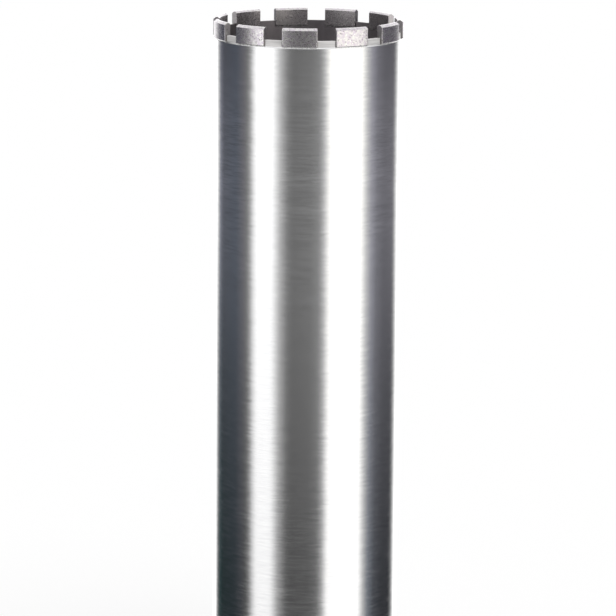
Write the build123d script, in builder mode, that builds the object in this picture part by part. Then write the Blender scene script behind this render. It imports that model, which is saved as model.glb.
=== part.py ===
"""Diamond core bit: a steel barrel with eleven brazed diamond segments and a threaded drive hub.

Millimetres, +Z up. The origin is the centre of the hub's end face, and the cutting crown is at the top.
"""

import os
from math import cos, degrees, hypot, radians, sin

from build123d import *

# ------------------------------------------------------------------ cutting crown
bit_diameter = 127.0  # across the segments: the hole that the bit drills
segment_count = 11
segment_length = 23.6  # along the outer face
segment_thickness = 4.3
segment_height = 8.2  # from the rim to the ridge
ridge_land = 1.2  # flat on the ridge of a segment's roofed top
outer_roof_drop = 1.4
inner_roof_drop = 1.0
inner_roof_width = 1.3
outer_skirt = 4.1  # how far a segment reaches down outside the rim
inner_skirt = 3.6  # and inside it
segment_corner_radius = 0.5
skirt_chamfer = 0.4

# ------------------------------------------------------------------ barrel
working_length = 450.0  # barrel and segments together
segment_overhang = 1.0  # segments stand proud of the barrel outside
barrel_wall = 2.6
rim_step = 0.4  # the rim is turned down by this much outside
rim_chamfer = 0.5
shoulder_height = 1.0
barrel_end_chamfer = 0.8

# ------------------------------------------------------------------ back plate
plate_thickness = 10.0
plate_inset = 3.0  # the plate sits this far inside the barrel's lower end
plate_edge_chamfer = 1.0
barrel_weld_leg = 2.6
hub_weld_leg = 4.5
weld_bulge = 0.3

# ------------------------------------------------------------------ hub, for a 1-1/4 in - 7 UNC spindle
hub_diameter = 50.0
hub_length = 38.0  # below the back plate
spigot_diameter = 42.0
thread_minor_diameter = 28.2
thread_major_diameter = 31.75
thread_lead_margin = 0.4  # the 45 degree lead-ins open this much wider than the thread
hub_edge_chamfer = 1.2
flat_across = 41.0
flat_start = 8.0
flat_length = 20.0

# ------------------------------------------------------------------ clearances, radial
braze_gap = 0.1
plate_clearance = 0.1
spigot_clearance = 0.1
weld_clearance = 0.1

# ------------------------------------------------------------------ derived sizes
segment_outer_r = bit_diameter / 2
segment_inner_r = segment_outer_r - segment_thickness
barrel_outer_r = segment_outer_r - segment_overhang
barrel_inner_r = barrel_outer_r - barrel_wall
rim_outer_r = barrel_outer_r - rim_step
plate_r = barrel_inner_r - plate_clearance
hub_r = hub_diameter / 2
spigot_r = spigot_diameter / 2
plate_hole_r = spigot_r + spigot_clearance
thread_minor_r = thread_minor_diameter / 2
thread_lead_r = thread_major_diameter / 2 + thread_lead_margin
thread_lead_depth = thread_lead_r - thread_minor_r

plate_bottom_z = hub_length
plate_top_z = plate_bottom_z + plate_thickness
barrel_bottom_z = plate_bottom_z - plate_inset
tip_z = barrel_bottom_z + working_length
rim_z = tip_z - segment_height
shoulder_z = rim_z - outer_skirt

segment_angle = degrees(segment_length / segment_outer_r)
segment_pitch = 360 / segment_count
first_segment_angle = -90  # the first segment is centred on -Y


def radial_plane(angle):
    """Plane through the axis, with its x outwards at this angle and its y up."""
    a = radians(angle)
    return Plane(origin=(0, 0, 0), x_dir=(cos(a), sin(a), 0), z_dir=(sin(a), -cos(a), 0))


def at_radius(radius):
    """Filter for edges that stand at this distance from the axis."""
    return lambda edge: abs(hypot(edge.center().X, edge.center().Y) - radius) < 0.01


def weld_face(corner_r, leg):
    """Bulging face of a fillet weld under the plate, from its lower toe to its toe on the plate.

    The weld fills the corner at corner_r, and a negative leg makes it grow towards the axis.
    """
    outward = 1 if leg > 0 else -1
    middle_r = corner_r + leg / 2 + outward * weld_bulge
    middle_z = plate_bottom_z - abs(leg) / 2 - weld_bulge
    return [(corner_r, plate_bottom_z - abs(leg)), (middle_r, middle_z), (corner_r + leg, plate_bottom_z)]


def save(part, name):
    part.label = name
    export_step(part, f"parts/{name}.step")


os.makedirs("parts", exist_ok=True)

# ------------------------------------------------------------------ barrel
# One tube, turned: a thin rim for the segments, a chamfered shoulder below it, and plain walls.
with BuildPart() as barrel:
    with BuildSketch(Plane.XZ):
        with BuildLine():
            Polyline(
                (barrel_inner_r, barrel_bottom_z),
                (barrel_outer_r - barrel_end_chamfer, barrel_bottom_z),
                (barrel_outer_r, barrel_bottom_z + barrel_end_chamfer),
                (barrel_outer_r, shoulder_z - shoulder_height),
                (rim_outer_r, shoulder_z),
                (rim_outer_r, rim_z - rim_chamfer),
                (rim_outer_r - rim_chamfer, rim_z),
                (barrel_inner_r, rim_z),
                close=True,
            )
        make_face()
    revolve(axis=Axis.Z)
save(barrel.part, "barrel")

# ------------------------------------------------------------------ segments
# Each is an arc of one section: a roofed cutting body over a saddle that sits astride the rim.
for index in range(segment_count):
    start = first_segment_angle + index * segment_pitch - segment_angle / 2
    with BuildPart() as segment:
        with BuildSketch(radial_plane(start)):
            with BuildLine():
                Polyline(
                    (rim_outer_r + braze_gap, shoulder_z),
                    (segment_outer_r - skirt_chamfer, shoulder_z),
                    (segment_outer_r, shoulder_z + skirt_chamfer),
                    (segment_outer_r, tip_z - outer_roof_drop),
                    (segment_inner_r + inner_roof_width + ridge_land, tip_z),
                    (segment_inner_r + inner_roof_width, tip_z),
                    (segment_inner_r, tip_z - inner_roof_drop),
                    (segment_inner_r, rim_z - inner_skirt),
                    (barrel_inner_r - braze_gap, rim_z - inner_skirt),
                    (barrel_inner_r - braze_gap, rim_z),
                    (rim_outer_r + braze_gap, rim_z),
                    close=True,
                )
            make_face()
        revolve(axis=Axis.Z, revolution_arc=segment_angle)
        upright = segment.edges().filter_by(Axis.Z)
        outer_corners = upright.filter_by(at_radius(segment_outer_r))
        fillet(outer_corners, radius=segment_corner_radius)
    save(segment.part, f"segment_{index + 1:02d}")

# ------------------------------------------------------------------ back plate
# A disc inside the barrel's lower end, with the fillet welds that hold the barrel and the hub.
barrel_weld = weld_face(plate_r, -barrel_weld_leg)
hub_weld = weld_face(hub_r + weld_clearance, hub_weld_leg)

with BuildPart() as back_plate:
    with BuildSketch(Plane.XZ):
        with BuildLine():
            Polyline(
                (plate_hole_r, plate_top_z),
                (plate_r - plate_edge_chamfer, plate_top_z),
                (plate_r, plate_top_z - plate_edge_chamfer),
                barrel_weld[0],
            )
            ThreePointArc(*barrel_weld)
            Line(barrel_weld[2], hub_weld[2])
            ThreePointArc(*reversed(hub_weld))
            Polyline(
                hub_weld[0],
                (hub_r + weld_clearance, plate_bottom_z),
                (plate_hole_r, plate_bottom_z),
                (plate_hole_r, plate_top_z),
            )
        make_face()
    revolve(axis=Axis.Z)
save(back_plate.part, "back_plate")

# ------------------------------------------------------------------ hub
# Turned, with a spigot through the back plate, a threaded bore that is also the water way into the
# barrel (plain here, at the thread's minor diameter), and two milled flats for a wrench.
with BuildPart() as hub:
    with BuildSketch(Plane.XZ):
        with BuildLine():
            Polyline(
                (thread_lead_r, 0),
                (hub_r - hub_edge_chamfer, 0),
                (hub_r, hub_edge_chamfer),
                (hub_r, plate_bottom_z),
                (spigot_r, plate_bottom_z),
                (spigot_r, plate_top_z),
                (thread_lead_r, plate_top_z),
                (thread_minor_r, plate_top_z - thread_lead_depth),
                (thread_minor_r, thread_lead_depth),
                close=True,
            )
        make_face()
    revolve(axis=Axis.Z)
    with BuildSketch(Plane.XY.offset(flat_start)):
        for side in (-1, 1):
            with Locations((0, side * (flat_across + hub_r) / 2)):
                Rectangle(hub_diameter, hub_r)
    extrude(amount=flat_length, mode=Mode.SUBTRACT)
save(hub.part, "hub")
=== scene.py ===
"""Diamond core bit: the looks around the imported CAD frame. Metres, +Z up, crown at the top."""

from math import acos, ceil, cos, pi, radians, sin, sqrt, tan, tau

import bpy
from mathutils import Matrix, Vector, noise


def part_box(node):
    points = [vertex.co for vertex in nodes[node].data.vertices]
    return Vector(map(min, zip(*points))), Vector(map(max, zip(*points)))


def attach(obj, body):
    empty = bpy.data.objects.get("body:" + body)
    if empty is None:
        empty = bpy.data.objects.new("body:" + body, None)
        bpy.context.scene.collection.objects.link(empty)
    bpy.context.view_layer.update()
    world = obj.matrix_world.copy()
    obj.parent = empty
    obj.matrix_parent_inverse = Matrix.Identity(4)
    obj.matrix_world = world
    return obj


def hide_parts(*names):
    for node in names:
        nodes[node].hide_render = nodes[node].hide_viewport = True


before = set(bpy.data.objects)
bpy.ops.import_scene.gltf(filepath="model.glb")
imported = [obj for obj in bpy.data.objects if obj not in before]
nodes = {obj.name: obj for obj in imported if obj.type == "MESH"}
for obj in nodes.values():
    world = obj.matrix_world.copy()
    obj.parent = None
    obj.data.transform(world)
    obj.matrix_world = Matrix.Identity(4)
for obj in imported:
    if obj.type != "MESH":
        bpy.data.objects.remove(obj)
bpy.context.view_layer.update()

MM = 0.001
BODY = "root"
segment_names = sorted(name for name in nodes if name.startswith("segment_"))

# ------------------------------------------------------------------ sizes
# Places come from the frame's boxes, and the sizes that a box doesn't show are the CAD's own.
barrel_low, barrel_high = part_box("barrel")
_, plate_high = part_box("back_plate")
_, hub_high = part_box("hub")
first_low, first_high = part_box(segment_names[0])

barrel_wall = 2.6 * MM
barrel_outer_r = barrel_high.x
barrel_inner_r = barrel_outer_r - barrel_wall
barrel_bottom_z = barrel_low.z
barrel_end_chamfer = 0.8 * MM
rim_z = barrel_high.z
rim_step = 0.4 * MM
rim_chamfer = 0.5 * MM
rim_r = barrel_outer_r - rim_step
shoulder_z = first_low.z
shoulder_height = 1.0 * MM

tip_z = first_high.z
segment_thickness = 4.3 * MM
segment_length = 23.6 * MM
segment_outer_r = -first_low.y  # the first segment is centred on -Y
segment_inner_r = segment_outer_r - segment_thickness
segment_angle = segment_length / segment_outer_r
ridge_land = 1.2 * MM
inner_roof_width = 1.3 * MM
inner_roof_drop = 1.0 * MM
outer_roof_drop = 1.4 * MM
inner_skirt = 3.6 * MM
skirt_chamfer = 0.4 * MM
segment_corner_r = 0.5 * MM
braze_gap = 0.1 * MM

clearance = 0.1 * MM  # round the plate and the hub
plate_r = barrel_inner_r - clearance
plate_top_z = plate_high.z
plate_bottom_z = 38.0 * MM
plate_hole_r = 21.1 * MM
plate_edge_chamfer = 1.0 * MM
barrel_weld_leg = 2.6 * MM
hub_weld_leg = 4.5 * MM

hub_r = hub_high.x
hub_weld_r = hub_r + clearance
hub_spigot_r = 21.0 * MM
hub_edge_chamfer = 1.2 * MM
hub_flat_r = 20.5 * MM
hub_flat_z = (8.0 * MM, 28.0 * MM)
thread_minor_r = 14.1 * MM
thread_major_r = 15.875 * MM
thread_pitch = 25.4 * MM / 7
thread_lead_r = thread_major_r + 0.4 * MM


# ------------------------------------------------------------------ mesh helpers
def finish_mesh(name, verts, faces, material, sharp=radians(40)):
    """Makes a smooth-shaded piece that rides on the bit's one body."""
    mesh = bpy.data.meshes.new(name)
    mesh.from_pydata(verts, [], faces)
    mesh.validate()
    mesh.shade_smooth()
    mesh.set_sharp_from_angle(angle=sharp)
    mesh.materials.append(material)
    piece = bpy.data.objects.new(name, mesh)
    bpy.context.scene.collection.objects.link(piece)
    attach(piece, BODY)
    return piece


def curve(start, waist, end, steps):
    """Points from start to end along a curve that is pulled towards its waist."""
    shares = [k / steps for k in range(steps + 1)]
    return [start * (1 - t) ** 2 + waist * 2 * t * (1 - t) + end * t**2 for t in shares]


def rounded(corners, steps=4):
    """Closed outline from (r, z, radius) corners, each corner turned into an arc of that radius."""
    most = 0.49  # of a side, so that two roundings never meet
    outline = []
    count = len(corners)
    for i, (r, z, radius) in enumerate(corners):
        here = Vector((r, z))
        back = Vector(corners[i - 1][:2]) - here
        ahead = Vector(corners[(i + 1) % count][:2]) - here
        if radius <= 0:
            outline.append((r, z))
            continue
        u, v = back.normalized(), ahead.normalized()
        half = acos(max(-1.0, min(1.0, u.dot(v)))) / 2
        setback = min(radius / max(1e-6, tan(half)), back.length * most, ahead.length * most)
        arc = curve(here + u * setback, here, here + v * setback, steps)
        outline += [tuple(point) for point in arc]
    return outline


def dense(outline, step, closed=True):
    """The same outline with no run longer than step."""
    points = []
    count = len(outline)
    for i in range(count if closed else count - 1):
        a, b = Vector(outline[i]), Vector(outline[(i + 1) % count])
        parts = max(1, ceil((b - a).length / step))
        points += [tuple(a.lerp(b, k / parts)) for k in range(parts)]
    if not closed:
        points.append(outline[-1])
    return points


def lathe(name, outline, columns, material, shape=None, closed=True, sharp=radians(40)):
    """Turns a (r, z) outline about +Z. shape(angle, r, z) may move each point within its own column."""
    verts, faces = [], []
    rows = len(outline)
    for c in range(columns):
        angle = tau * c / columns
        for r, z in outline:
            if shape:
                r, z = shape(angle, r, z)
            verts.append((r * cos(angle), r * sin(angle), z))
    for c in range(columns):
        here, after = c * rows, (c + 1) % columns * rows
        for k in range(rows if closed else rows - 1):
            n = (k + 1) % rows
            faces.append((here + k, here + n, after + n, after + k))
    return finish_mesh(name, verts, faces, material, sharp)


def skin(columns, rows):
    """Faces of a closed outline of so many rows that is carried through so many columns and capped."""
    faces = []
    for c in range(columns - 1):
        here, after = c * rows, (c + 1) * rows
        for k in range(rows):
            n = (k + 1) % rows
            faces.append((here + k, after + k, after + n, here + n))
    faces.append(tuple(range(rows)))
    faces.append(tuple(reversed(range((columns - 1) * rows, columns * rows))))
    return faces


def keep_flats(piece):
    """Large faces keep their own normal, and the small roundings between them take the turn."""
    modifier = piece.modifiers.new("flats", "WEIGHTED_NORMAL")
    modifier.weight = 90
    modifier.keep_sharp = True


# ------------------------------------------------------------------ node helpers
class Nodes:
    """A few short calls for building one node tree."""

    def __init__(self, tree):
        self.tree = tree

    def add(self, kind, **settings):
        node = self.tree.nodes.new(kind)
        for key, value in settings.items():
            setattr(node, key, value)
        return node

    def link(self, source, target):
        self.tree.links.new(source, target)

    def put(self, socket, value):
        if isinstance(value, bpy.types.NodeSocket):
            self.link(value, socket)
        else:
            socket.default_value = value

    def math(self, operation, a, b=0.0):
        node = self.add("ShaderNodeMath", operation=operation)
        self.put(node.inputs[0], a)
        self.put(node.inputs[1], b)
        return node.outputs[0]

    def vector(self, operation, a, b=(0.0, 0.0, 0.0), scale=None):
        node = self.add("ShaderNodeVectorMath", operation=operation)
        self.put(node.inputs[0], a)
        if scale is None:
            self.put(node.inputs[1], b)
        else:
            self.put(node.inputs["Scale"], scale)
        return node.outputs["Value" if operation == "DOT_PRODUCT" else "Vector"]

    def ramp(self, value, low, high, to_low=0.0, to_high=1.0, smooth=True):
        """The value from low to high, spread over to_low to to_high, and held there beyond them."""
        node = self.add("ShaderNodeMapRange")
        node.interpolation_type = "SMOOTHSTEP" if smooth else "LINEAR"
        for socket, v in zip(node.inputs, (value, low, high, to_low, to_high)):
            self.put(socket, v)
        return node.outputs[0]

    def noise(self, vector, scale=1.0, detail=2.0, roughness=0.5):
        node = self.add("ShaderNodeTexNoise")
        self.put(node.inputs["Vector"], vector)
        for key, v in (("Scale", scale), ("Detail", detail), ("Roughness", roughness)):
            self.put(node.inputs[key], v)
        return node.outputs[0]

    def bump(self, height, strength):
        node = self.add("ShaderNodeBump")
        node.inputs["Strength"].default_value = strength
        node.inputs["Distance"].default_value = 0.03 * MM
        self.link(height, node.inputs["Height"])
        return node.outputs[0]

    def mix(self, factor, a, b):
        node = self.add("ShaderNodeMix", data_type="RGBA")
        self.put(node.inputs["Factor"], factor)
        self.put(node.inputs["A"], a)
        self.put(node.inputs["B"], b)
        return node.outputs["Result"]


def empty_tree(owner, output_kind):
    """The owner's node tree, cleared, and its output's surface socket."""
    owner.use_nodes = True
    owner.node_tree.nodes.clear()
    tree = Nodes(owner.node_tree)
    return tree, tree.add(output_kind).inputs["Surface"]


def new_metal(name, metallic=1.0):
    """A material with one shader, its tree, and the place on the piece that its patterns follow."""
    material = bpy.data.materials.new(name)
    tree, surface = empty_tree(material, "ShaderNodeOutputMaterial")
    shader = tree.add("ShaderNodeBsdfPrincipled")
    tree.link(shader.outputs[0], surface)
    shader.inputs["Metallic"].default_value = metallic
    return material, tree, shader, tree.add("ShaderNodeTexCoord").outputs["Object"]


def grey(level, tint=(1.0, 1.0, 1.0)):
    """A colour: how light it is, and what share of that its red, green and blue take."""
    return (level * tint[0], level * tint[1], level * tint[2], 1.0)


def round_lines(tree, place, per_mm, run_mm, detail=2.0):
    """Fine lines round the axis: noise that is long round the part and short along it."""
    around = 1.0 / (run_mm * MM)
    drawn = tree.vector("MULTIPLY", place, (around, around, per_mm / MM))
    return tree.noise(drawn, detail=detail, roughness=0.65)


def round_tangent(tree):
    return tree.add("ShaderNodeTangent", direction_type="RADIAL", axis="Z").outputs[0]


def lean_round(tree, lines, amount):
    """Normal leaned a little round the axis by each line, as the scratches of a brushed tube do."""
    normal = tree.add("ShaderNodeNewGeometry").outputs["Normal"]
    lean = tree.math("MULTIPLY", tree.math("SUBTRACT", lines, 0.5), amount)
    leaned = tree.vector("ADD", normal, tree.vector("SCALE", round_tangent(tree), scale=lean))
    return tree.vector("NORMALIZE", leaned)


def polar(tree, place):
    """Distance from the axis, and height."""
    split = tree.add("ShaderNodeSeparateXYZ")
    tree.link(place, split.inputs[0])
    x, y, z = split.outputs
    squares = tree.math("ADD", tree.math("MULTIPLY", x, x), tree.math("MULTIPLY", y, y))
    return tree.math("SQRT", squares), z


# ------------------------------------------------------------------ materials
def barrel_steel():
    """Polished and brushed outside, darker drawn steel inside, matt turned rim."""
    material, tree, shader, place = new_metal("barrel_steel")
    radius, z = polar(tree, place)
    inside = tree.ramp(radius, barrel_inner_r + 0.1 * MM, barrel_inner_r + 0.3 * MM, 1.0, 0.0)
    rim = tree.ramp(z, shoulder_z - 0.2 * MM, shoulder_z)
    rim = tree.math("MULTIPLY", rim, tree.math("SUBTRACT", 1.0, inside))

    # Brushing: fine lines of tone and roughness, scratches that turn the reflection a little, and
    # broad bands. Each has its own noise, so that both edges of a reflection are equally ragged.
    fine = round_lines(tree, place, 1.25, 14.0, detail=3.0)
    scratch = round_lines(tree, place, 1.3, 12.0, detail=3.0)
    broad = round_lines(tree, place, 0.10, 60.0)
    streak = tree.ramp(fine, 0.30, 0.70, smooth=False)
    mill = tree.noise(tree.vector("MULTIPLY", place, (160.0, 160.0, 60.0)), detail=4.0, roughness=0.6)

    rim_tint = (1.0, 0.98, 0.97)
    outside_colour = tree.mix(streak, grey(0.600, (1.0, 1.0, 1.01)), grey(0.665))
    inside_colour = tree.mix(mill, grey(0.15, (1.0, 0.90, 0.96)), grey(0.27, (1.0, 0.93, 0.97)))
    rim_colour = tree.mix(streak, grey(0.48, rim_tint), grey(0.68, rim_tint))
    wall_colour = tree.mix(rim, outside_colour, rim_colour)
    tree.link(tree.mix(inside, wall_colour, inside_colour), shader.inputs["Base Color"])
    rim_scatter = tree.math("MULTIPLY", rim, 0.75)
    tree.link(tree.math("SUBTRACT", 1.0, rim_scatter), shader.inputs["Metallic"])

    rough = tree.ramp(broad, 0.3, 0.7, 0.134, 0.164, smooth=False)
    line_rough = tree.ramp(fine, 0.45, 0.68, 0.0, 0.075, smooth=False)
    rim_rough = tree.math("MULTIPLY", rim, 0.28)
    inside_rough = tree.math("MULTIPLY", inside, 0.30)
    for more in (line_rough, rim_rough, inside_rough):
        rough = tree.math("ADD", rough, more)
    tree.link(rough, shader.inputs["Roughness"])
    shader.inputs["Anisotropic"].default_value = 0.6
    shader.inputs["Anisotropic Rotation"].default_value = 0.25
    tree.link(round_tangent(tree), shader.inputs["Tangent"])
    tree.link(lean_round(tree, scratch, 0.064), shader.inputs["Normal"])
    return material


def segment_matrix():
    """Sintered metal with diamond grit: mottled satin grey, pale and dark crystals, duller ends.

    The faces towards the axis are worn smoother, with turning lines and fewer crystals.
    """
    material, tree, shader, place = new_metal("segment_matrix", metallic=0.95)
    cloud = tree.noise(place, 520.0, detail=3.0, roughness=0.65)
    grain = tree.noise(place, 2600.0, detail=1.0)

    normal = tree.add("ShaderNodeNewGeometry").outputs["Normal"]
    around = tree.vector("NORMALIZE", tree.vector("CROSS_PRODUCT", (0.0, 0.0, 1.0), place))
    outward = tree.vector("CROSS_PRODUCT", around, (0.0, 0.0, 1.0))
    end = tree.math("ABSOLUTE", tree.vector("DOT_PRODUCT", normal, around))
    end = tree.ramp(end, 0.75, 0.95)
    inner = tree.ramp(tree.vector("DOT_PRODUCT", normal, outward), -0.6, -0.9)

    crystals = tree.add("ShaderNodeTexVoronoi")
    tree.link(place, crystals.inputs["Vector"])
    crystals.inputs["Scale"].default_value = 800.0
    crystal = tree.ramp(crystals.outputs["Distance"], 0.26, 0.36, 1.0, 0.0)
    shown = tree.math("SUBTRACT", 1.0, tree.math("MULTIPLY", inner, 0.65))
    crystal = tree.math("MULTIPLY", crystal, shown)
    kind = tree.add("ShaderNodeSeparateColor")
    tree.link(crystals.outputs["Color"], kind.inputs[0])
    dark = tree.math("MULTIPLY", crystal, tree.math("GREATER_THAN", kind.outputs[0], 0.62))
    pale = tree.math("MULTIPLY", crystal, tree.math("LESS_THAN", kind.outputs[0], 0.30))

    deep, light = grey(0.48, (1.0, 0.90, 1.02)), grey(0.59, (0.98, 0.975, 0.945))
    worn_deep, worn_light = grey(0.56, (1.0, 0.95, 0.97)), grey(0.68, (1.0, 0.96, 0.97))
    dark_grit, pale_grit = grey(0.18, (1.0, 0.92, 0.92)), grey(0.80, (0.99, 0.98, 0.925))
    end_face = grey(0.26, (1.0, 0.96, 0.96))
    turning = tree.ramp(round_lines(tree, place, 1.6, 8.0), 0.3, 0.7)
    colour = tree.mix(tree.ramp(cloud, 0.32, 0.68), deep, light)
    for share, mask, other in (
        (0.8, inner, tree.mix(turning, worn_deep, worn_light)),
        (0.8, dark, dark_grit),
        (0.6, pale, pale_grit),
        (0.5, end, end_face),
    ):
        colour = tree.mix(tree.math("MULTIPLY", mask, share), colour, other)
    tree.link(colour, shader.inputs["Base Color"])

    rough = tree.ramp(grain, 0.3, 0.7, 0.20, 0.30)
    rough = tree.math("ADD", rough, tree.math("MULTIPLY", end, 0.18))
    rough = tree.math("ADD", rough, tree.math("MULTIPLY", dark, 0.15))
    tree.link(rough, shader.inputs["Roughness"])
    tree.link(tree.bump(tree.math("SUBTRACT", grain, dark), 0.4), shader.inputs["Normal"])
    return material


def set_metal(name, low, high, rough, patches, metallic=1.0):
    """Solder or weld that has run and set, and the dark lines of painted shade: clouds between two greys,
    rougher where lighter.

    rough is the least and the greatest roughness, and patches says how small and how torn the clouds are.
    """
    material, tree, shader, place = new_metal(name, metallic)
    scale, detail, torn = patches
    cloud = tree.noise(place, scale, detail, torn)
    tree.link(tree.mix(cloud, low, high), shader.inputs["Base Color"])
    tree.link(tree.ramp(cloud, 0.3, 0.7, *rough), shader.inputs["Roughness"])
    return material


def turned_steel(name, level, rough, per_mm):
    """Machined steel with turning lines, for the plate and the hub."""
    material, tree, shader, place = new_metal(name)
    radius, z = polar(tree, place)
    across = tree.add("ShaderNodeCombineXYZ")
    for socket, distance in zip(across.inputs, (radius, z)):
        tree.link(tree.math("MULTIPLY", distance, per_mm / MM), socket)
    lines = tree.noise(across.outputs[0], roughness=0.6)
    cloud = tree.noise(place, 90.0, detail=3.0)
    colour = tree.mix(cloud, grey(level * 0.86), grey(level * 1.08))
    colour = tree.mix(tree.math("MULTIPLY", lines, 0.3), colour, grey(level * 0.7))
    tree.link(colour, shader.inputs["Base Color"])
    tree.link(tree.ramp(lines, 0.3, 0.7, rough, rough + 0.10), shader.inputs["Roughness"])
    tree.link(tree.bump(lines, 0.5), shader.inputs["Normal"])
    return material


small_clouds = (900.0, 2.0, 0.5)
weld_clouds = (220.0, 3.0, 0.6)
steel = barrel_steel()
matrix = segment_matrix()
plate_steel = turned_steel("plate_steel", 0.45, 0.34, 1.6)
hub_steel = turned_steel("hub_steel", 0.58, 0.24, 2.2)
weld_steel = set_metal(  # brown and blue heat colours
    "weld_metal", grey(0.22, (1.0, 0.93, 0.85)), grey(0.42, (0.97, 0.98, 1.0)), (0.32, 0.50), weld_clouds
)
solder = set_metal(
    "silver_solder", grey(0.66), grey(0.86, (1.0, 0.99, 0.96)), (0.22, 0.34), small_clouds, metallic=0.6
)
# painted shade beside the segment ends: the dark lines on the rim, given the colours of scale
scale = set_metal(
    "painted_end_shade", grey(0.10, (1.0, 0.92, 0.90)), grey(0.24, (1.0, 0.94, 0.92)), (0.40, 0.52), small_clouds
)


# ------------------------------------------------------------------ barrel
def make_barrel():
    edge = 0.12 * MM
    outline = rounded(
        [
            (barrel_inner_r, barrel_bottom_z, 0.3 * MM),
            (barrel_outer_r - barrel_end_chamfer, barrel_bottom_z, edge),
            (barrel_outer_r, barrel_bottom_z + barrel_end_chamfer, edge),
            (barrel_outer_r, shoulder_z - shoulder_height, edge),
            (rim_r, shoulder_z, 0.15 * MM),
            (rim_r, rim_z - rim_chamfer, edge),
            (rim_r - rim_chamfer, rim_z, edge),
            (barrel_inner_r, rim_z, edge),
        ]
    )
    barrel = lathe("barrel_tube", dense(outline, 12 * MM), 720, steel)
    keep_flats(barrel)
    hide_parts("barrel")


# ------------------------------------------------------------------ segments
def segment_section():
    """A segment's section, in (r, z), as a rounded outline over its saddle."""
    saddle_out, saddle_in = rim_r + braze_gap, barrel_inner_r - braze_gap
    edge = 0.25 * MM
    return rounded(
        [
            (saddle_out, shoulder_z, 0.1 * MM),
            (segment_outer_r - skirt_chamfer, shoulder_z, 0.1 * MM),
            (segment_outer_r, shoulder_z + skirt_chamfer, 0.1 * MM),
            (segment_outer_r, tip_z - outer_roof_drop, 0.12 * MM),
            (segment_inner_r + inner_roof_width + ridge_land, tip_z, edge),
            (segment_inner_r + inner_roof_width, tip_z, edge),
            (segment_inner_r, tip_z - inner_roof_drop, edge),
            (segment_inner_r, rim_z - inner_skirt, 0.2 * MM),
            (saddle_in, rim_z - inner_skirt, 0.1 * MM),
            (saddle_in, rim_z, 0.0),
            (saddle_out, rim_z, 0.0),
        ]
    )


def inward(outline):
    """Inward normal at each point of an outline that runs anticlockwise."""
    count = len(outline)
    along = [Vector(outline[(i + 1) % count]) - Vector(outline[i - 1]) for i in range(count)]
    return [Vector((-a.y, a.x)).normalized() for a in along]


def pull_in(radius, depth):
    """How far a rounding of this radius lies inside its corner, at this depth from the end."""
    return radius - sqrt(radius**2 - (radius - depth) ** 2) if depth < radius else 0.0


def segment_middle(index):
    """Angle of a segment's middle: the first one is centred on -Y."""
    return -pi / 2 + index * tau / len(segment_names)


def segment_run(length, step):
    """Places along a segment: close together round its two corners, and evenly spaced between them."""
    corner = [segment_corner_r * share for share in (0.0, 0.06, 0.2, 0.44, 0.7)]
    plain = length - 2 * segment_corner_r
    parts = ceil(plain / step)
    middle = [segment_corner_r + plain * k / parts for k in range(parts + 1)]
    return corner + middle + [length - depth for depth in reversed(corner)]


def grit(place):
    """Uneven ground of a sintered face, from -1 to 1: clumps with grains on them."""
    return 0.6 * noise.noise(place * 800) + 0.4 * noise.noise(place * 2100)


def make_segment(index, name):
    step = 0.25 * MM
    edge_r = 0.22 * MM
    relief = 0.045 * MM
    outline = dense(segment_section(), step)
    normals = inward(outline)
    length = segment_angle * segment_outer_r
    start = segment_middle(index) - segment_angle / 2
    run = segment_run(length, step)
    verts = []
    for along in run:
        depth = min(along, length - along)
        angle = start + along / segment_outer_r
        outward = Vector((cos(angle), sin(angle), 0.0))
        limit = segment_outer_r - pull_in(segment_corner_r, depth)
        for (r, z), normal in zip(outline, normals):
            pull = pull_in(edge_r, depth)
            pull += relief * (0.5 + 0.5 * grit(outward * r + Vector((0.0, 0.0, z))))
            r, z = r + normal.x * pull, z + normal.y * pull
            verts.append(outward * min(r, limit) + Vector((0.0, 0.0, z)))
    faces = skin(len(run), len(outline))
    segment = finish_mesh(name + "_sintered", verts, faces, matrix, sharp=radians(50))
    keep_flats(segment)
    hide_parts(name)


# ------------------------------------------------------------------ brazed joints
def bead(profile, path):
    """Verts and faces of a profile carried along a path: each is a function of 0 to 1."""
    steps, rows = 48, len(profile(0.0))
    verts = [path(k / steps, point) for k in range(steps + 1) for point in profile(k / steps)]
    return verts, skin(steps + 1, rows)


def gather(verts, faces, more_verts, more_faces):
    """Adds one closed shape to a mesh that holds many."""
    start = len(verts)
    verts.extend(more_verts)
    faces.extend(tuple(i + start for i in face) for face in more_faces)


def fillet_profile(corner, first, second, steps=5):
    """A small concave fillet in (r, z): its corner, and its toe on each of the two faces."""
    hollow = 0.55  # how far the curve's waist lies from the corner: 1 is a flat fillet
    start, end, corner = Vector(first), Vector(second), Vector(corner)
    waist = corner + ((start + end) / 2 - corner) * hollow
    return [corner] + curve(start, waist, end, steps)


def uneven(amount, place):
    """1, give or take this amount from place to place."""
    return 1.0 + amount * noise.noise(Vector(place))


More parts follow.
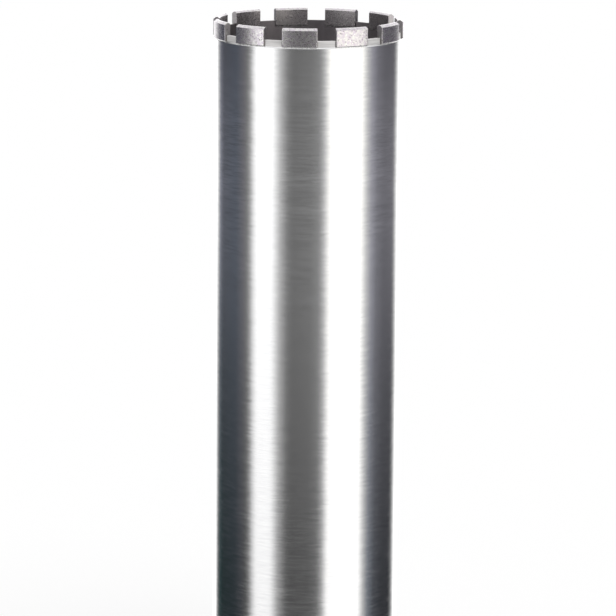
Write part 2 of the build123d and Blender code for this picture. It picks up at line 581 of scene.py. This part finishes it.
def make_solder():
    """Silver solder in the corners under each segment's outer and inner foot."""
    sink = 0.02 * MM  # a fillet's corner lies this deep in the metal
    skim = 0.005 * MM  # and its toes lie this far off it
    seat = 0.03 * MM
    foot_r = segment_outer_r - skirt_chamfer
    inner_foot_z = rim_z - inner_skirt
    bared = 0.6 * MM / segment_outer_r  # the solder ends a little short of the segment's ends
    verts, faces = [], []

    for index in range(len(segment_names)):

        def sweep(t, point):
            angle = segment_middle(index) + (t - 0.5) * (segment_angle - bared)
            return (point.x * cos(angle), point.x * sin(angle), point.y)

        def under_outer(t):
            swell = uneven(0.25, (t * 9, index * 3.1, 0))
            corner = (rim_r - sink, shoulder_z + sink)
            toe_drop = 0.75 * MM * swell
            low_toe = (rim_r + toe_drop * rim_step / shoulder_height + skim, shoulder_z - toe_drop)
            high_toe = (min(rim_r + braze_gap + 0.55 * MM * swell, foot_r), shoulder_z + seat)
            return fillet_profile(corner, low_toe, high_toe)

        def under_inner(t):
            swell = uneven(0.3, (t * 8, index * 5.7, 4.0))
            corner = (barrel_inner_r + sink, inner_foot_z + sink)
            high_toe = (segment_inner_r + 0.15 * MM, inner_foot_z + seat)
            low_toe = (barrel_inner_r + skim, inner_foot_z - 0.6 * MM * swell)
            return fillet_profile(corner, high_toe, low_toe)

        gather(verts, faces, *bead(under_outer, sweep))
        gather(verts, faces, *bead(under_inner, sweep))
    finish_mesh("solder_fillets", verts, faces, solder, sharp=radians(50))


def make_painted_shade_lines():
    """A dark line of painted shade on the rim beside each end of each segment."""
    sink, skim, leg = 0.02 * MM, 0.005 * MM, 0.45 * MM
    line_top_z = rim_z - rim_chamfer
    verts, faces = [], []

    for index in range(len(segment_names)):
        for side in (-1, 1):
            end = segment_middle(index) + side * segment_angle / 2

            def upright(t, point):
                angle = end + side * point.x / rim_r
                r = rim_r + point.y
                return (r * cos(angle), r * sin(angle), shoulder_z + t * (line_top_z - shoulder_z))

            def beside(t):
                swell = leg * uneven(0.3, (t * 4, end * 7, 9.0))
                points = fillet_profile((-0.05 * MM, -sink), (swell, skim), (0.0, swell))
                return points if side > 0 else [points[0]] + points[:0:-1]

            gather(verts, faces, *bead(beside, upright))
    finish_mesh("painted_shade_lines", verts, faces, scale, sharp=radians(50))


# ------------------------------------------------------------------ back plate and its welds
def make_plate():
    edge = 0.2 * MM
    outline = rounded(
        [
            (plate_hole_r, plate_bottom_z, 0.0),
            (plate_r, plate_bottom_z, 0.0),
            (plate_r, plate_top_z - plate_edge_chamfer, edge),
            (plate_r - plate_edge_chamfer, plate_top_z, edge),
            (plate_hole_r, plate_top_z, edge),
        ]
    )
    plate = lathe("back_plate_disc", dense(outline, 8 * MM), 256, plate_steel)
    keep_flats(plate)
    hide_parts("back_plate")


def make_weld(name, corner_r, leg, ripple_length):
    """A fillet weld laid round a corner under the plate, with its ripples swept back at the toes.

    A negative leg makes it grow towards the axis.
    """
    outward = 1 if leg > 0 else -1
    size = abs(leg)
    ripples = round(tau * corner_r / ripple_length)
    bulge = 0.25 * MM
    ripple_depth = 0.22 * MM
    wander_depth = 0.15 * MM
    swept_back = 2.2  # radians of a ripple, from the middle to a toe
    slant = 0.7  # a dent goes up and across the weld's face by this share
    steps = 10
    outline = []
    for k in range(steps + 1):
        t = k / steps
        swell = bulge * sin(pi * t)
        outline.append((corner_r + outward * (size * t + swell), plate_bottom_z - size * (1 - t) - swell))
    outline.append((corner_r, plate_bottom_z))

    def ripple(angle, r, z):
        if r == corner_r or z == plate_bottom_z:
            return r, z
        across = (plate_bottom_z - z) / size
        wave = sin(angle * ripples + swept_back * (2 * across - 1) ** 2)
        wander = noise.noise(Vector((cos(angle) * 9, sin(angle) * 9, corner_r * 400)))
        depth = ripple_depth * (0.5 + 0.5 * wave) + wander_depth * (0.5 + 0.5 * wander)
        return r - outward * depth * slant, z + depth * slant

    lathe(name, outline, 1080, weld_steel, shape=ripple, sharp=radians(60))


# ------------------------------------------------------------------ hub
def make_hub():
    """Outside, end faces, flats and the 1-1/4 in - 7 thread, all as one surface of (r, z) rows."""
    flat_low, flat_high = hub_flat_z
    flat_steps = 20
    nick = 0.01 * MM  # the rows on both sides of a flat's end lie this close to it
    outer = [(thread_lead_r, 0.0), (hub_r - hub_edge_chamfer, 0.0), (hub_r, hub_edge_chamfer)]
    outer += [(hub_r, flat_low - nick), (hub_r, flat_low + nick)]
    outer += [(hub_r, flat_low + (flat_high - flat_low) * k / flat_steps) for k in range(1, flat_steps)]
    outer += [(hub_r, flat_high - nick), (hub_r, flat_high + nick), (hub_r, plate_bottom_z)]
    outer += [(hub_spigot_r, plate_bottom_z), (hub_spigot_r, plate_top_z), (thread_lead_r, plate_top_z)]
    rows_per_turn = 20
    rows = ceil(plate_top_z / thread_pitch * rows_per_turn)
    bore = [(thread_minor_r, plate_top_z * (1 - k / rows)) for k in range(1, rows)]

    # Shares of the pitch: half a groove at its mouth, and one slope of the 60 degree thread.
    half_mouth, slope = 0.4375, 0.3125

    def shape(angle, r, z):
        if r == hub_r and flat_low < z < flat_high:
            across = abs(sin(angle))
            return (min(hub_r, hub_flat_r / across) if across > 0.01 else hub_r), z
        if r == thread_minor_r:
            phase = (z / thread_pitch - angle / tau) % 1.0
            depth = min(1.0, max(0.0, (half_mouth - abs(phase - 0.5)) / slope))
            groove = thread_minor_r + (thread_major_r - thread_minor_r) * depth
            lead = max(thread_lead_r - z, thread_lead_r - (plate_top_z - z))
            return max(groove, lead), z
        return r, z

    hub = lathe("hub_threaded", outer + bore, 288, hub_steel, shape=shape, sharp=radians(32))
    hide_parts("hub")


make_barrel()
for index, name in enumerate(segment_names):
    make_segment(index, name)
make_solder()
make_painted_shade_lines()
make_plate()
make_weld("barrel_weld_bead", plate_r, -barrel_weld_leg, 2.4 * MM)
make_weld("hub_weld_bead", hub_weld_r, hub_weld_leg, 2.6 * MM)
make_hub()

# ------------------------------------------------------------------ studio
PICTURE = 616  # pixels across and down
VIEW_AZIMUTH = radians(5.17)
VIEW_ELEVATION = radians(10.66)
VIEW_ROLL = radians(0.413)
FOCAL_PX = 4000
CROWN_PX = (308.42, 17.92)  # where the crown's middle stands in the picture
PIXEL_SIZE = 0.6655 * MM  # at the crown

# The studio round the bit, for its metal to mirror. Each stop: degrees to the right of the camera, the
# level as the tube's upper part mirrors it, the level for its lower part, and a tint. Soft boxes are
# well over 1, and dark flags far below it.
BRIGHTEST = 1.9
SURROUND = [
    # backdrop, seen in the tube's left edge
    (-180, 1.9, 1.9),
    (-150, 1.75, 1.70),
    # left flag
    (-142, 0.80, 0.25),
    (-136, 0.31, 0.07, "edge"),
    (-126, 0.17, 0.03, "edge"),
    (-98, 0.20, 0.03, "cool"),
    (-86, 0.29, 0.06, "violet"),
    (-79, 0.38, 0.08),
    # left soft box, weaker at its foot
    (-74.5, 0.75, 0.22),
    (-69, 1.60, 0.92),
    (-64, 1.90, 1.43),
    (-44, 1.90, 1.42),
    (-34, 0.97, 0.46),
    # flag behind the camera
    (-24, 0.45, 0.12),
    (-17, 0.36, 0.09),
    (4, 0.42, 0.105),
    (15, 0.54, 0.16),
    # right soft box
    (21, 0.94, 0.50),
    (28, 1.90, 1.62, "warm"),
    (70, 1.88, 1.78, "warm"),
    (78, 0.96, 0.78),
    # right flag
    (86, 0.62, 0.25, "violet"),
    (96, 0.37, 0.08, "violet"),
    (110, 0.265, 0.04, "violet"),
    (124, 0.25, 0.03, "violet"),
    (132, 0.25, 0.04, "violet"),
    # backdrop, seen in the tube's right edge
    (139, 0.66, 0.35),
    (145, 1.30, 1.15),
    (152, 1.90, 1.90),
    (180, 1.90, 1.90),
]
# Tints of the flags and boxes, for the upper and the lower part.
TINTS = {
    "warm": ((1.0, 0.985, 0.95), (1.0, 1.0, 1.0)),
    "cool": ((0.86, 0.955, 1.185), (0.55, 1.02, 1.05)),
    "edge": ((0.935, 0.955, 1.15), (0.40, 1.05, 1.02)),
    "violet": ((0.975, 0.955, 1.07), (0.85, 1.0, 1.15)),
}
# Degrees above the horizon at which the tube's upper part mirrors the studio, and its lower end does.
PLAN_HEIGHTS = (-8.5, -14.6)
# How light the flags are by height: degrees, and the share of their level above. The tube's brushing
# blurs this along its length, so the steps are stronger than what shows.
FLAG_LEVELS = [
    (-17, 0.66),
    (-13.6, 1.02),
    (-11.9, 0.55),
    (-9.9, 1.08),
    (-8.9, 1.95),
    (-8.1, 1.95),
    (-7.3, 0.4),
    (-5.5, 0.1),
]
FLAG_SPAN = (-20, 0)
# Over and under the plan the studio turns to even greys: degrees from and to, and their levels.
CEILING_HEIGHTS, CEILING_LEVEL = (10, 28), 1.3
GROUND_HEIGHTS, GROUND_LEVEL, GROUND_SHARE = (-24, -50), 0.42, 0.7
EVEN_LIGHT = 0.75  # what all that isn't mirrored gets from the studio


def follow(tree, angle, span, stops):
    """Colour that follows (degrees, colour) stops along an angle, as a share of the brightest level."""
    low, high = span
    ramp = tree.add("ShaderNodeValToRGB")
    ramp.color_ramp.interpolation = "LINEAR"
    elements = ramp.color_ramp.elements
    while len(elements) < len(stops):
        elements.new(0.5)
    for element, (place, colour) in zip(elements, stops):
        element.position = (place - low) / (high - low)
        element.color = tuple(level / BRIGHTEST for level in colour) + (1.0,)
    tree.link(tree.ramp(angle, radians(low), radians(high), smooth=False), ramp.inputs[0])
    return ramp.outputs[0]


def surround(tree, azimuth, part):
    """The plan round the bit, as the tube's upper (0) or lower (1) part mirrors it."""
    stops = []
    for place, *levels_and_tint in SURROUND:
        level = levels_and_tint[part]
        tint = TINTS[levels_and_tint[2]][part] if len(levels_and_tint) > 2 else (1.0, 1.0, 1.0)
        stops.append((place, tuple(level * share for share in tint)))
    return follow(tree, azimuth, (-180, 180), stops)


def mirrored_studio(tree):
    """What the metal mirrors: a colour for each direction, whatever the camera does."""
    turn = tree.add("ShaderNodeVectorRotate", rotation_type="Z_AXIS")
    tree.link(tree.add("ShaderNodeTexCoord").outputs["Generated"], turn.inputs["Vector"])
    turn.inputs["Angle"].default_value = -VIEW_AZIMUTH
    split = tree.add("ShaderNodeSeparateXYZ")
    tree.link(turn.outputs[0], split.inputs[0])
    x, y, z = split.outputs
    azimuth = tree.math("ARCTAN2", x, tree.math("MULTIPLY", y, -1.0))
    height = tree.math("ARCSINE", z)

    def between(heights, share=1.0, smooth=True):
        start, end = heights
        return tree.ramp(height, radians(start), radians(end), 0.0, share, smooth)

    white = (1.0, 1.0, 1.0)
    lower = between(PLAN_HEIGHTS, smooth=False)
    plan = tree.mix(lower, surround(tree, azimuth, 0), surround(tree, azimuth, 1))
    # The darker a place in the plan is, the more of the flags' level it takes.
    level = follow(tree, height, FLAG_SPAN, [(place, (value,) * 3) for place, value in FLAG_LEVELS])
    gloom = tree.vector("SUBTRACT", white, tree.vector("SCALE", level, scale=BRIGHTEST))
    taken = tree.vector("MULTIPLY", tree.vector("SUBTRACT", white, plan), gloom)
    plan = tree.vector("MULTIPLY", plan, tree.vector("SUBTRACT", white, taken))
    plan = tree.vector("SCALE", plan, scale=BRIGHTEST)
    plan = tree.mix(between(CEILING_HEIGHTS), plan, grey(CEILING_LEVEL))
    return tree.mix(between(GROUND_HEIGHTS, GROUND_SHARE), plan, grey(GROUND_LEVEL))


def studio_world():
    """Even light, the studio for the metal to mirror, and plain white for the camera and through glass."""
    world = bpy.data.worlds.new("studio")
    bpy.context.scene.world = world
    tree, surface = empty_tree(world, "ShaderNodeOutputWorld")
    rays = tree.add("ShaderNodeLightPath").outputs

    def background(colour, strength=1.0):
        node = tree.add("ShaderNodeBackground")
        tree.put(node.inputs["Color"], colour)
        node.inputs["Strength"].default_value = strength
        return node.outputs[0]

    def choose(ray, otherwise, seen):
        node = tree.add("ShaderNodeMixShader")
        for socket, source in zip(node.inputs, (ray, otherwise, seen)):
            tree.link(source, socket)
        return node.outputs[0]

    light = background(grey(1.0), EVEN_LIGHT)
    light = choose(rays["Is Glossy Ray"], light, background(mirrored_studio(tree)))
    straight = tree.math("MAXIMUM", rays["Is Camera Ray"], rays["Is Transmission Ray"])
    tree.link(choose(straight, light, background(grey(1.0))), surface)


def studio_floor():
    """Plain white floor that keeps the bit's shadow, half lit of itself for the camera alone."""
    size = 40.0
    mesh = bpy.data.meshes.new("studio_floor")
    corners = [(-size, -size, 0), (size, -size, 0), (size, size, 0), (-size, size, 0)]
    mesh.from_pydata(corners, [], [(0, 1, 2, 3)])
    floor = bpy.data.objects.new("studio_floor", mesh)
    bpy.context.scene.collection.objects.link(floor)
    floor.visible_glossy = False

    material = bpy.data.materials.new("studio_floor")
    mesh.materials.append(material)
    tree, surface = empty_tree(material, "ShaderNodeOutputMaterial")
    paper = tree.add("ShaderNodeBsdfDiffuse")
    paper.inputs["Color"].default_value = grey(0.98)
    glow = tree.add("ShaderNodeEmission")
    glow.inputs["Strength"].default_value = 1.0
    rays = tree.add("ShaderNodeLightPath")
    mix = tree.add("ShaderNodeMixShader")
    tree.link(tree.math("MULTIPLY", rays.outputs["Is Camera Ray"], 0.5), mix.inputs[0])
    tree.link(paper.outputs[0], mix.inputs[1])
    tree.link(glow.outputs[0], mix.inputs[2])
    tree.link(mix.outputs[0], surface)


def towards(azimuth, elevation):
    """Unit vector to a place this far round to the right of -Y and this far up."""
    flat = cos(elevation)
    return Vector((sin(azimuth) * flat, -cos(azimuth) * flat, sin(elevation)))


def soft_sun(name, azimuth, elevation, share):
    """A wide lamp that gives level ground this share of the plain light level."""
    lamp = bpy.data.lights.new(name, "SUN")
    lamp.angle = radians(35)
    lamp.energy = share * pi / sin(elevation)
    light = bpy.data.objects.new(name, lamp)
    aim = towards(azimuth, elevation)
    light.rotation_euler = aim.to_track_quat("Z", "Y").to_euler()
    light.location = aim
    light.visible_glossy = False
    bpy.context.scene.collection.objects.link(light)


def photo_camera():
    """Long lens, a little above the crown, rolled as the picture is."""
    level_right = Vector((cos(VIEW_AZIMUTH), sin(VIEW_AZIMUTH), 0))
    back = towards(VIEW_AZIMUTH, VIEW_ELEVATION)
    level_up = back.cross(level_right)
    right = level_right * cos(VIEW_ROLL) + level_up * sin(VIEW_ROLL)
    up = level_up * cos(VIEW_ROLL) - level_right * sin(VIEW_ROLL)
    crown = Vector((0, 0, tip_z))
    middle = PICTURE / 2
    across = (CROWN_PX[0] - middle) * PIXEL_SIZE
    above = (middle - CROWN_PX[1]) * PIXEL_SIZE
    lens = bpy.data.cameras.new("camera")
    lens.sensor_width = 36.0
    lens.lens = FOCAL_PX / PICTURE * lens.sensor_width
    lens.clip_end = 200.0
    camera = bpy.data.objects.new("camera", lens)
    camera.matrix_world = Matrix((right, up, back)).transposed().to_4x4()
    camera.location = crown - right * across - up * above + back * FOCAL_PX * PIXEL_SIZE
    bpy.context.scene.collection.objects.link(camera)
    bpy.context.scene.camera = camera


studio_world()
studio_floor()
soft_sun("key", azimuth=radians(35), elevation=radians(58), share=0.27)
photo_camera()
bpy.context.scene.view_settings.view_transform = "Standard"
